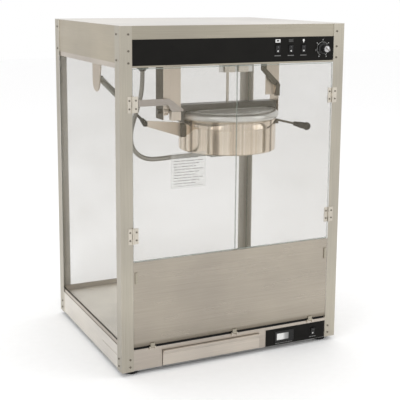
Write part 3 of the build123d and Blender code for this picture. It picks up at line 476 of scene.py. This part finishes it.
def repaint(node, body, finishes, choose):
    """Stands in for a node with the same shape; choose(face, part span) picks each face's finish."""
    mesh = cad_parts[node].data.copy()
    mesh.materials.clear()
    for key in finishes:
        mesh.materials.append(M[key])
    for face, span in zip(mesh.polygons, island_sizes(mesh)):
        face.material_index = choose(face, span)
    obj = bpy.data.objects.new(node + "_finish", mesh)
    bpy.context.collection.objects.link(obj)
    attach(obj, body)
    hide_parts(node)


SCREW_SPAN = 0.0085  # a hinge part smaller than this is a screw
STRAP_THICKNESS = 0.0115


def repaint_nodes():
    for node, body in (("post_hinges", "cabinet"), ("door_hinges_left", "door_left"),
                       ("door_hinges_right", "door_right")):
        repaint(node, body, ["fitting", "screw"],
                lambda face, span: int(span < SCREW_SPAN))
    repaint("corner_posts", "cabinet", ["post", "post_inner"], post_finish)
    repaint("kettle_hangers", "cabinet", ["bracket", "dark_steel_and_shade"], hanger_finish)
    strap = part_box("strut_arm")[1][0] - STRAP_THICKNESS
    repaint("strut_arm", "kettle", ["strut_plate", "dark_steel_and_shade"],
            lambda face, span: int(face.center.x > strap))


def post_finish(face, span):
    """The angles' inner faces, which look into the cabinet, get the paler, less metallic finish."""
    axis = 0 if abs(face.normal.x) > 0.7 else 1
    outward = face.normal[axis] * face.center[axis] > 0
    return int(not outward and abs(face.normal.z) < 0.5)


def hanger_finish(face, span):
    """The side flange and the cranked brace are painted dark as shade, the broad plates pale."""
    left_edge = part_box("kettle_hangers")[0]
    flange = abs(face.normal.x) > 0.9 and face.center.x < left_edge[0] + 0.003
    brace = face.center.y < left_edge[1] + 0.0085 and face.center.x > 0.1
    return int(flange or brace)


# ---- conduit ------------------------------------------------------------------------------------
CONDUIT_ROUTE = [
    (-0.217, -0.088, 0.892),
    (-0.217, -0.088, 0.852),
    (-0.225, -0.093, 0.810),
    (-0.243, -0.103, 0.768),
    (-0.262, -0.116, 0.729),
    (-0.273, -0.126, 0.694),
    (-0.268, -0.131, 0.657),
    (-0.244, -0.131, 0.631),
    (-0.208, -0.124, 0.618),
    (-0.165, -0.113, 0.616),
    (-0.121, -0.102, 0.616),
    (-0.074, -0.086, 0.613),
    (-0.028, -0.070, 0.612),
    (0.019, -0.070, 0.612),
]
CONDUIT_RADIUS = 0.0075
CONDUIT_PITCH = 0.0062
CONDUIT_GROOVE = 0.22  # the groove's depth as a share of the radius
CONDUIT_SIDES = 20
RINGS_PER_RIB = 6


def route_line(route):
    """The points of the smooth spline that the route controls."""
    curve = bpy.data.curves.new("route", "CURVE")
    curve.dimensions = "3D"
    curve.resolution_u = 24
    spline = curve.splines.new("NURBS")
    spline.points.add(len(route) - 1)
    for point, place in zip(spline.points, route):
        point.co = (*place, 1)
    spline.order_u = 3
    spline.use_endpoint_u = True
    holder = bpy.data.objects.new("route", curve)
    mesh = bpy.data.meshes.new_from_object(holder)
    line = [v.co.copy() for v in mesh.vertices]
    bpy.data.objects.remove(holder)
    bpy.data.meshes.remove(mesh)
    return line


def walk(line, step):
    """Evenly spaced points and directions along a line."""
    stations = [0.0]
    for a, b in zip(line, line[1:]):
        stations.append(stations[-1] + (b - a).length)
    count = round(stations[-1] / step)
    points, k = [], 0
    for i in range(count + 1):
        target = stations[-1] * i / count
        while k < len(line) - 2 and stations[k + 1] < target:
            k += 1
        span = max(stations[k + 1] - stations[k], 1e-9)
        points.append(line[k].lerp(line[k + 1], (target - stations[k]) / span))
    return points, stations[-1]


def conduit_tube():
    """Interlocked steel strip wound into a flexible tube: a rounded rib every pitch."""
    line = route_line(CONDUIT_ROUTE)
    points, length = walk(line, CONDUIT_PITCH / RINGS_PER_RIB)
    verts, faces = [], []
    side = Vector((0, 1, 0))
    for i, point in enumerate(points):
        ahead = (points[min(i + 1, len(points) - 1)] - points[max(i - 1, 0)]).normalized()
        side = (side - ahead * side.dot(ahead)).normalized()
        across = ahead.cross(side)
        crest = 0.5 - 0.5 * math.cos(2 * math.pi * i / RINGS_PER_RIB)
        radius = CONDUIT_RADIUS * (1 - CONDUIT_GROOVE + CONDUIT_GROOVE * crest ** 0.5)
        for k in range(CONDUIT_SIDES):
            a = 2 * math.pi * k / CONDUIT_SIDES
            verts.append(point + (side * math.cos(a) + across * math.sin(a)) * radius)
    rings = len(points)
    for i in range(rings - 1):
        for k in range(CONDUIT_SIDES):
            j = (k + 1) % CONDUIT_SIDES
            a, b = i * CONDUIT_SIDES, (i + 1) * CONDUIT_SIDES
            faces.append((a + k, a + j, b + j, b + k))
    faces.append(tuple(range(CONDUIT_SIDES)))
    faces.append(tuple((rings - 1) * CONDUIT_SIDES + k for k in range(CONDUIT_SIDES)))
    mesh = bpy.data.meshes.new("conduit_tube")
    mesh.from_pydata([tuple(v) for v in verts], [], faces)
    face_outwards(mesh)
    mesh.materials.append(M["conduit"])
    mesh.polygons.foreach_set("use_smooth", [True] * len(mesh.polygons))
    tube = bpy.data.objects.new("conduit_tube", mesh)
    bpy.context.collection.objects.link(tube)
    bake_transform(tube)
    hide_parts("conduit")


# ---- controls -----------------------------------------------------------------------------------
RING_STEPS = 24


def ring_mark(name, centre, outer, inner, y, material, body, thickness=PRINT_THICKNESS):
    """A printed ring on a front surface round the (x, z) place centre."""
    centre_x, centre_z = centre
    steps = RING_STEPS
    verts, faces = [], []
    for depth in (y, y - thickness):
        for radius in (outer, inner):
            for k in range(steps):
                a = 2 * math.pi * k / steps
                verts.append((centre_x + radius * math.cos(a), depth, centre_z + radius * math.sin(a)))
    for k in range(steps):
        j = (k + 1) % steps
        back_out, back_in, front_out, front_in = (q * steps for q in range(4))
        faces.append((front_out + k, front_out + j, front_in + j, front_in + k))
        faces.append((back_out + k, back_out + j, front_out + j, front_out + k))
        faces.append((front_in + k, front_in + j, back_in + j, back_in + k))
        faces.append((back_in + k, back_in + j, back_out + j, back_out + k))
    return add_piece(name, verts, faces, material, body, smooth=False)


def dashes(x0, x1, z, height, words, gap):
    """A row of short bars that reads as a line of small print."""
    total = sum(words)
    scale = (x1 - x0 - gap * (len(words) - 1)) / total
    boxes, x = [], x0
    for word in words:
        boxes.append((x, x + word * scale, z, z + height))
        x += word * scale + gap
    return boxes


def switch_marks():
    """The captions and symbols printed round the rockers, and the marks on the rockers."""
    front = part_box("control_panel")[0][1] + PRINT_LIFT
    for name, icon in (("motor", "frame"), ("kettle_heat", "lines"), ("light", "bulb")):
        x, z = front_middle(*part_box("switch_" + name))
        top = z + 0.0245
        label = dashes(x - 0.011, x + 0.011, z - 0.0215, 0.0026, [3, 2, 3, 2], 0.0006)
        flat_marks("label_" + name, label, front, M["grey_ink"], "cabinet")
        if icon == "frame":
            flat_marks("icon_" + name, frame_icon(x, top), front, M["ink"], "cabinet")
        elif icon == "lines":
            boxes = [(x - 0.008, x + 0.008, top + k * 0.0032, top + k * 0.0032 + 0.0009)
                     for k in (-1, 0, 1)]
            flat_marks("icon_" + name, boxes, front, M["grey_ink"], "cabinet")
        else:
            ring_mark("icon_" + name, (x, top + 0.001), 0.0036, 0.0004, front, M["ink"],
                      "cabinet")
            stem = (x - 0.0016, x + 0.0016, top - 0.0056, top - 0.0026)
            flat_marks("icon_stem_" + name, [stem], front, M["ink"], "cabinet")
        rocker_marks(name)
    rocker_marks("warmer")


def frame_icon(x, z):
    """A frame with a small bar in it, as four sides and the bar."""
    return [
        (x - 0.0085, x + 0.0085, z + 0.0026, z + 0.0048),
        (x - 0.0085, x + 0.0085, z - 0.0048, z - 0.0026),
        (x - 0.0085, x - 0.0045, z - 0.0026, z + 0.0026),
        (x + 0.0045, x + 0.0085, z - 0.0026, z + 0.0026),
        (x - 0.0015, x + 0.0015, z - 0.0026, z - 0.0008),
    ]


def rocker_marks(name):
    """The on bar and off ring moulded on a rocker's two faces, placed where the rocker shows its
    highlights: partly marks, partly painted highlight.
    """
    body = "switch_" + name
    low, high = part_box(body)
    x, z = front_middle(low, high)
    upper = low[1] + 0.0011
    lower = low[1] + 0.0020
    bar = (x - 0.0006, x + 0.0006, z + 0.0042, z + 0.0078)
    flat_marks("rocker_bar_" + name, [bar], upper, M["grey_ink"], body, 0.0006)
    ring_mark("rocker_ring_" + name, (x, z - 0.0062), 0.0024, 0.0011, lower, M["ink"], body,
              0.0006)


def knob():
    """The timer knob: a flanged skirt, a fluted grip and a bright cap with a dark pointer."""
    low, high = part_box("timer_knob")
    x, z = front_middle(low, high)
    front = low[1]
    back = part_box("control_panel")[0][1] - 0.0002
    skirt, grip, flutes, steps = 0.017, 0.0128, 20, 160
    profile = [
        (0.0, back, 0), (skirt, back, 0), (skirt, back - 0.0030, 0),
        (skirt - 0.0012, back - 0.0042, 0), (grip + 0.001, back - 0.0050, 0.4),
        (grip, back - 0.0075, 1), (grip - 0.0006, front + 0.0045, 1),
        (grip - 0.0016, front + 0.0024, 0.6), (grip - 0.0026, front + 0.0020, 0),
        (0.0, front + 0.0020, 0),
    ]  # radius, y and how deep the flutes are there
    verts, faces = [], []
    for radius, y, flute in profile:
        for k in range(steps):
            a = 2 * math.pi * k / steps
            r = radius - flute * 0.0007 * (0.5 + 0.5 * math.cos(flutes * a)) ** 2
            verts.append((x + r * math.cos(a), y, z + r * math.sin(a)))
    for i in range(len(profile) - 1):
        for k in range(steps):
            j = (k + 1) % steps
            a, b = i * steps, (i + 1) * steps
            faces.append((a + k, a + j, b + j, b + k))
    body = add_piece("knob_body", verts, faces, M["plastic"], "timer_knob")
    weld(body)
    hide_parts("timer_knob")
    cap = [(0.0, 0.0), (0.0098, 0.0), (0.0098, 0.0012), (0.0092, 0.0020), (0.0, 0.00235)]
    verts, faces = lathe(cap, (x, front + 0.0024, z), (0, -1, 0), 48)
    weld(add_piece("knob_cap", verts, faces, M["cap"], "timer_knob"))
    verts, faces = bar_between((x - 0.0056, z + 0.0050), (x + 0.0056, z - 0.0050), 0.0028,
                               front + 0.0003, 0.0004)
    add_piece("knob_pointer", verts, faces, M["screw"], "timer_knob", smooth=False)


def weld(obj):
    """Merges points that lie on each other, such as a lathe's middle, and drops faces with no area."""
    bm = bmesh.new()
    bm.from_mesh(obj.data)
    bmesh.ops.remove_doubles(bm, verts=bm.verts, dist=1e-6)
    bmesh.ops.dissolve_degenerate(bm, edges=bm.edges, dist=1e-7)
    bmesh.ops.recalc_face_normals(bm, faces=bm.faces)
    bm.to_mesh(obj.data)
    bm.free()


def bar_between(first, last, width, y, thickness):
    """Points and faces of a thin bar on a front surface between two (x, z) places."""
    start, end = Vector(first), Vector(last)
    along = (end - start).normalized() * width / 2
    side = Vector((-along.y, along.x))
    corners = [start - side, end - side, end + side, start + side]
    verts = [(c.x, depth, c.y) for depth in (y, y - thickness) for c in corners]
    return verts, list(BOX_FACES)


DIAL_START = 240  # degrees, anticlockwise from the right
DIAL_SWEEP = 300
DIAL_TICKS = 25
DIAL_NUMBERS = 7
DIAL_NUMBER_RADIUS = 0.0272


def dial_marks():
    """The timer's printed scale: short ticks and plain numbers round the knob."""
    low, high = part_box("timer_knob")
    x, z = front_middle(low, high)
    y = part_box("control_panel")[0][1] + PRINT_LIFT
    verts, faces = [], []
    for k in range(DIAL_TICKS):
        a = math.radians(DIAL_START - k * DIAL_SWEEP / (DIAL_TICKS - 1))
        inner, outer = 0.0195, 0.0215 if k % 4 else 0.0228
        start = (x + inner * math.cos(a), z + inner * math.sin(a))
        end = (x + outer * math.cos(a), z + outer * math.sin(a))
        more_verts, more_faces = bar_between(start, end, 0.0009, y, PRINT_THICKNESS)
        base = len(verts)
        verts += more_verts
        faces += [tuple(base + i for i in face) for face in more_faces]
    add_piece("dial_ticks", verts, faces, M["ink"], "cabinet", smooth=False)
    for k in range(DIAL_NUMBERS):
        a = math.radians(DIAL_START - k * DIAL_SWEEP / (DIAL_NUMBERS - 1))
        place = (x + DIAL_NUMBER_RADIUS * math.cos(a), y, z + DIAL_NUMBER_RADIUS * math.sin(a))
        number("dial_number_%d" % k, str(k), place, 0.0062, "cabinet")


def number(name, text, place, size, body):
    """A plain printed numeral that faces the front."""
    curve = bpy.data.curves.new(name, "FONT")
    curve.body = text
    curve.size = size
    curve.extrude = 0.00012
    curve.align_x = "CENTER"
    curve.align_y = "CENTER"
    holder = bpy.data.objects.new(name, curve)
    mesh = bpy.data.meshes.new_from_object(holder)
    bpy.data.objects.remove(holder)
    mesh.transform(Matrix.Translation(place) @ Matrix.Rotation(math.radians(90), 4, "X"))
    mesh.materials.clear()
    mesh.materials.append(M["ink"])
    obj = bpy.data.objects.new(name, mesh)
    bpy.context.collection.objects.link(obj)
    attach(obj, body)


def display():
    """The controller's window, pale on its left, and the small print below it."""
    low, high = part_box("temperature_display")
    x0, z0 = low[0] + 0.0072, low[2] + 0.0072
    x1, z1 = x0 + 0.0436, z0 + 0.0216
    y = low[1] + 0.00085
    flat_marks("display_window", [(x0, x1, z0, z1)], y + 0.0003, M["window"], "cabinet",
               0.0005)
    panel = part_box("lower_control_panel")[0][1] + PRINT_LIFT
    text = dashes(low[0] + 0.002, high[0] - 0.004, low[2] - 0.0055, 0.0024,
                  [4, 3, 5, 2, 4, 4, 3], 0.0012)
    switch_low, switch_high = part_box("switch_warmer")
    text += dashes(switch_low[0] - 0.005, switch_high[0] + 0.005, switch_low[2] - 0.0085, 0.0026,
                   [3, 2, 3], 0.001)
    flat_marks("lower_panel_print", text, panel, M["grey_ink"], "cabinet")


def card_print():
    """The instruction card's lines of print, all bars, between two thin rules."""
    low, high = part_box("instruction_label")
    y = low[1] + 0.00012
    margin, row_step = 0.006, 0.0085
    left, right, bottom, top = low[0] + margin, high[0] - margin, low[2] + margin, high[2] - margin
    boxes = [(left, right, top - 0.0008, top), (left, right, bottom, bottom + 0.0008)]
    words = ([5, 3, 6, 2, 4], [4, 6, 3, 5, 3], [3, 3, 7, 4, 2], [6, 2, 4, 3, 5], [2, 7, 3, 4, 4])
    row = top - 0.012
    boxes += dashes(left + 0.02, right - 0.02, row, 0.0042, [5, 4, 5], 0.004)
    k = 0
    while row - row_step > bottom + 0.004:
        row -= row_step
        end = right - 0.004 - 0.012 * (k % 3)
        boxes += dashes(left + 0.003, end, row, 0.0018, words[k % len(words)], 0.0022)
        k += 1
    flat_marks("card_print", boxes, y, M["text_ink"], "door_left", 0.0003)


# ---- handle -------------------------------------------------------------------------------------
def grip():
    """The moulded grip: a tapered barrel with a waist and a ball end, along the handle rod."""
    rod_low, rod_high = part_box("handle_rod")
    low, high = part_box("handle_grip")
    ball = 0.013
    length = 0.0435  # from the grip's foot to the middle of its ball
    end = Vector((high[0] - ball, low[1] + ball, low[2] + ball))
    start = Vector([(a + b) / 2 for a, b in zip(rod_low, rod_high)])
    axis = (end - start).normalized()
    foot = end - axis * length
    profile = [(0.0, 0.0), (0.0055, 0.0), (0.0072, 0.0010), (0.0078, 0.0030), (0.0072, 0.0060),
               (0.0080, 0.0100), (0.0092, 0.0180), (0.0102, 0.0260), (0.0106, 0.0310),
               (0.0098, 0.0350)]
    for k in range(1, 13):
        a = math.radians(-42 + k * 132 / 12)
        profile.append((max(ball * math.cos(a), 0.0), length + ball * math.sin(a)))
    verts, faces = lathe(profile, foot, axis, 48)
    obj = add_piece("grip", verts, faces, M["plastic"], "kettle")
    weld(obj)
    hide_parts("handle_grip")


def gap_seal():
    """Painted shade: a dark strip in the black rubber finish behind the gap under the drop front, where
    the gap lies in shade.
    """
    low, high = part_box("drop_front")
    base_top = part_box("base_front")[1][2]
    y0, z0, z1 = low[1] + 0.004, base_top + 0.0001, low[2] - 0.0012
    section = [(y0, z0), (y0, z1 - 0.0015), (y0 + 0.0012, z1 - 0.0002), (y0 + 0.0035, z1),
               (y0 + 0.007, z1 - 0.0006), (y0 + 0.0078, z0)]
    verts = [(x, y, z) for x in (low[0] + 0.001, high[0] - 0.001) for y, z in section]
    n = len(section)
    faces = [tuple(range(n)), tuple(range(2 * n - 1, n - 1, -1))]
    faces += [(k, (k + 1) % n, (k + 1) % n + n, k + n) for k in range(n)]
    # the black rubber finish here stands for the shade inside the gap
    add_piece("gap_seal", verts, faces, M["rubber"], "cabinet", smooth=False)


# ---- kettle -------------------------------------------------------------------------------------
def kettle_axis():
    low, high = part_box("kettle_rim")
    return Vector(((low[0] + high[0]) / 2, (low[1] + high[1]) / 2, 0))


def kettle_can():
    """The polished can as a spun shell with a rounded lower corner."""
    low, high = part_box("kettle_shell")
    radius = (high[0] - low[0]) / 2
    wall = 0.0014
    z0, z1 = low[2], high[2]
    corner = 0.006
    outer = [(0.0, z0), (radius - corner, z0)]
    for k in range(1, 9):
        a = math.pi / 2 * k / 8
        outer.append((radius - corner + corner * math.sin(a), z0 + corner - corner * math.cos(a)))
    outer += [(radius, z0 + 0.03), (radius, z1 - 0.03), (radius, z1)]
    inner = [(radius - wall, z1), (radius - wall, z0 + 0.01), (radius - 0.01, z0 + wall), (0.0, z0 + wall)]
    verts, faces = lathe(outer + inner, kettle_axis(), (0, 0, 1), 128)
    obj = add_piece("kettle_can", verts, faces, shell_material(), "kettle")
    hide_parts("kettle_shell")


def shell_material():
    """Polished can: upright bands of warm and dark tone and fine upright streaks, painted reflections of
    the surroundings round the can.
    """
    n = Nodes("kettle_can_steel")
    axis = kettle_axis()
    coords = n.add("ShaderNodeTexCoord")
    shift = n.add("ShaderNodeMapping", vector_type="POINT")
    shift.inputs["Location"].default_value = (-axis.x, -axis.y, 0)
    n.link(coords.outputs["Object"], shift.inputs["Vector"])
    split = n.add("ShaderNodeSeparateXYZ")
    n.link(shift.outputs[0], split.inputs[0])
    angle = n.add("ShaderNodeMath", operation="ARCTAN2")
    n.link(split.outputs[1], angle.inputs[0])
    n.link(split.outputs[0], angle.inputs[1])
    join = n.add("ShaderNodeCombineXYZ")
    n.link(angle.outputs[0], join.inputs[0])
    # painted reflection: tone bands and streaks round the can stand for what the polished sheet mirrors
    wide = n.noise(join.outputs[0], 5.5, 2.0, 0.5)
    fine = n.noise(join.outputs[0], 26.0, 3.0, 0.6)
    reflection_bands = n.ramp(wide, (0.34, (0.22, 0.175, 0.135)), (0.44, (0.70, 0.60, 0.49)),
                   (0.58, (0.84, 0.755, 0.65)), (0.68, (0.55, 0.455, 0.36)))
    reflection_streaks = n.ramp(fine, (0.32, (0.62, 0.60, 0.57)), (0.46, (0.97, 0.96, 0.94)),
                     (0.70, (1.0, 1.0, 1.0)))
    n.link(n.blend(1.0, reflection_bands, reflection_streaks, "MULTIPLY"), n.shader.inputs["Base Color"])
    haze = n.noise(n.place(), 16.0, 4.0, 0.6)
    n.link(n.range(haze, 0.3, 0.75, 0.10, 0.22), n.shader.inputs["Roughness"])
    n.set(Metallic=1.0)
    return n.mat


def kettle_ring():
    """The rolled aluminium rim: a soft D section."""
    low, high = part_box("kettle_rim")
    outer = (high[0] - low[0]) / 2
    inner = (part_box("kettle_pan")[1][0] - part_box("kettle_pan")[0][0]) / 2
    z0, z1 = low[2], high[2]
    half = (z1 - z0) / 2
    profile = [(inner, z0), (inner + 0.004, z0)]
    for k in range(13):
        a = -math.pi / 2 + math.pi * k / 12
        bulge = outer - half * 0.85 + half * 0.85 * math.cos(a)
        profile.append((bulge, z0 + half + half * math.sin(a)))
    profile += [(inner + 0.003, z1), (inner, z1 - 0.002)]
    verts, faces = lathe(profile, kettle_axis(), (0, 0, 1), 128, closed=True)
    obj = add_piece("kettle_ring", verts, faces, M["rim"], "kettle")
    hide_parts("kettle_rim")


# ---- finish -------------------------------------------------------------------------------------
def build_glass():
    glass_with_edges("door_glass_left", "door_left")
    glass_with_edges("door_glass_right", "door_right")
    glass_with_edges("fixed_glass", "cabinet")


CAMERA_PLACE = (-1.270, -2.715, 1.141)
CAMERA_AIM = (0.027, 0.005, 0.611)
CAMERA_ROLL = 0.4  # degrees
CAMERA_LENS = 82.1
CAMERA_SENSOR = 36
CAMERA_SHIFT = -0.125
WHITE = (1, 1, 1)
FLOOR_HALF = 12


def add_camera():
    data = bpy.data.cameras.new("camera")
    camera = bpy.data.objects.new("camera", data)
    bpy.context.collection.objects.link(camera)
    camera.location = CAMERA_PLACE
    look = (Vector(CAMERA_AIM) - camera.location).to_track_quat("-Z", "Y")
    camera.rotation_mode = "QUATERNION"
    camera.rotation_quaternion = look @ Quaternion((0, 0, 1), math.radians(CAMERA_ROLL))
    data.lens = CAMERA_LENS
    data.sensor_width = CAMERA_SENSOR
    data.shift_y = CAMERA_SHIFT
    data.clip_end = 50
    bpy.context.scene.camera = camera


def area_light(name, location, aim, size, power):
    data = bpy.data.lights.new(name, "AREA")
    data.shape = "RECTANGLE"
    data.size, data.size_y = size
    data.energy = power
    data.color = WHITE
    light = bpy.data.objects.new(name, data)
    light.location = location
    light.rotation_mode = "QUATERNION"
    light.rotation_quaternion = (Vector(aim) - Vector(location)).to_track_quat("-Z", "Y")
    bpy.context.collection.objects.link(light)


def add_lights():
    area_light("key_left", (-3.2, -2.2, 2.6), (0, 0, 0.5), (2.2, 2.6), 22)
    area_light("fill_right", (3.0, -2.4, 1.8), (0, 0, 0.5), (1.8, 2.4), 12)
    area_light("top_soft", (0, 0.2, 3.6), (0, 0, 0.8), (3.0, 3.0), 22)
    world = bpy.data.worlds.new("world")
    world.use_nodes = True
    world.node_tree.nodes["Background"].inputs[0].default_value = (*WHITE, 1)
    world.node_tree.nodes["Background"].inputs[1].default_value = 1.0
    bpy.context.scene.world = world
    bpy.context.scene.view_settings.view_transform = "Standard"


def add_floor():
    n = Nodes("floor_paper")
    grain = n.noise(n.place(), 40.0, 3.0, 0.5)
    base = n.ramp(grain, (0.3, (0.97, 0.97, 0.97)), (0.7, (0.99, 0.99, 0.99)))
    n.link(base, n.shader.inputs["Base Color"])
    n.set(Roughness=0.9)
    mesh = bpy.data.meshes.new("floor")
    corners = [(-1, -1), (1, -1), (1, 1), (-1, 1)]
    mesh.from_pydata([(x * FLOOR_HALF, y * FLOOR_HALF, 0) for x, y in corners], [], [(0, 1, 2, 3)])
    mesh.materials.append(n.mat)
    floor = bpy.data.objects.new("floor", mesh)
    bpy.context.collection.objects.link(floor)


add_camera()
conduit_tube()
dress_nodes()
repaint_nodes()
build_glass()
kettle_can()
kettle_ring()
switch_marks()
knob()
dial_marks()
display()
card_print()
grip()
gap_seal()
add_lights()
add_floor()
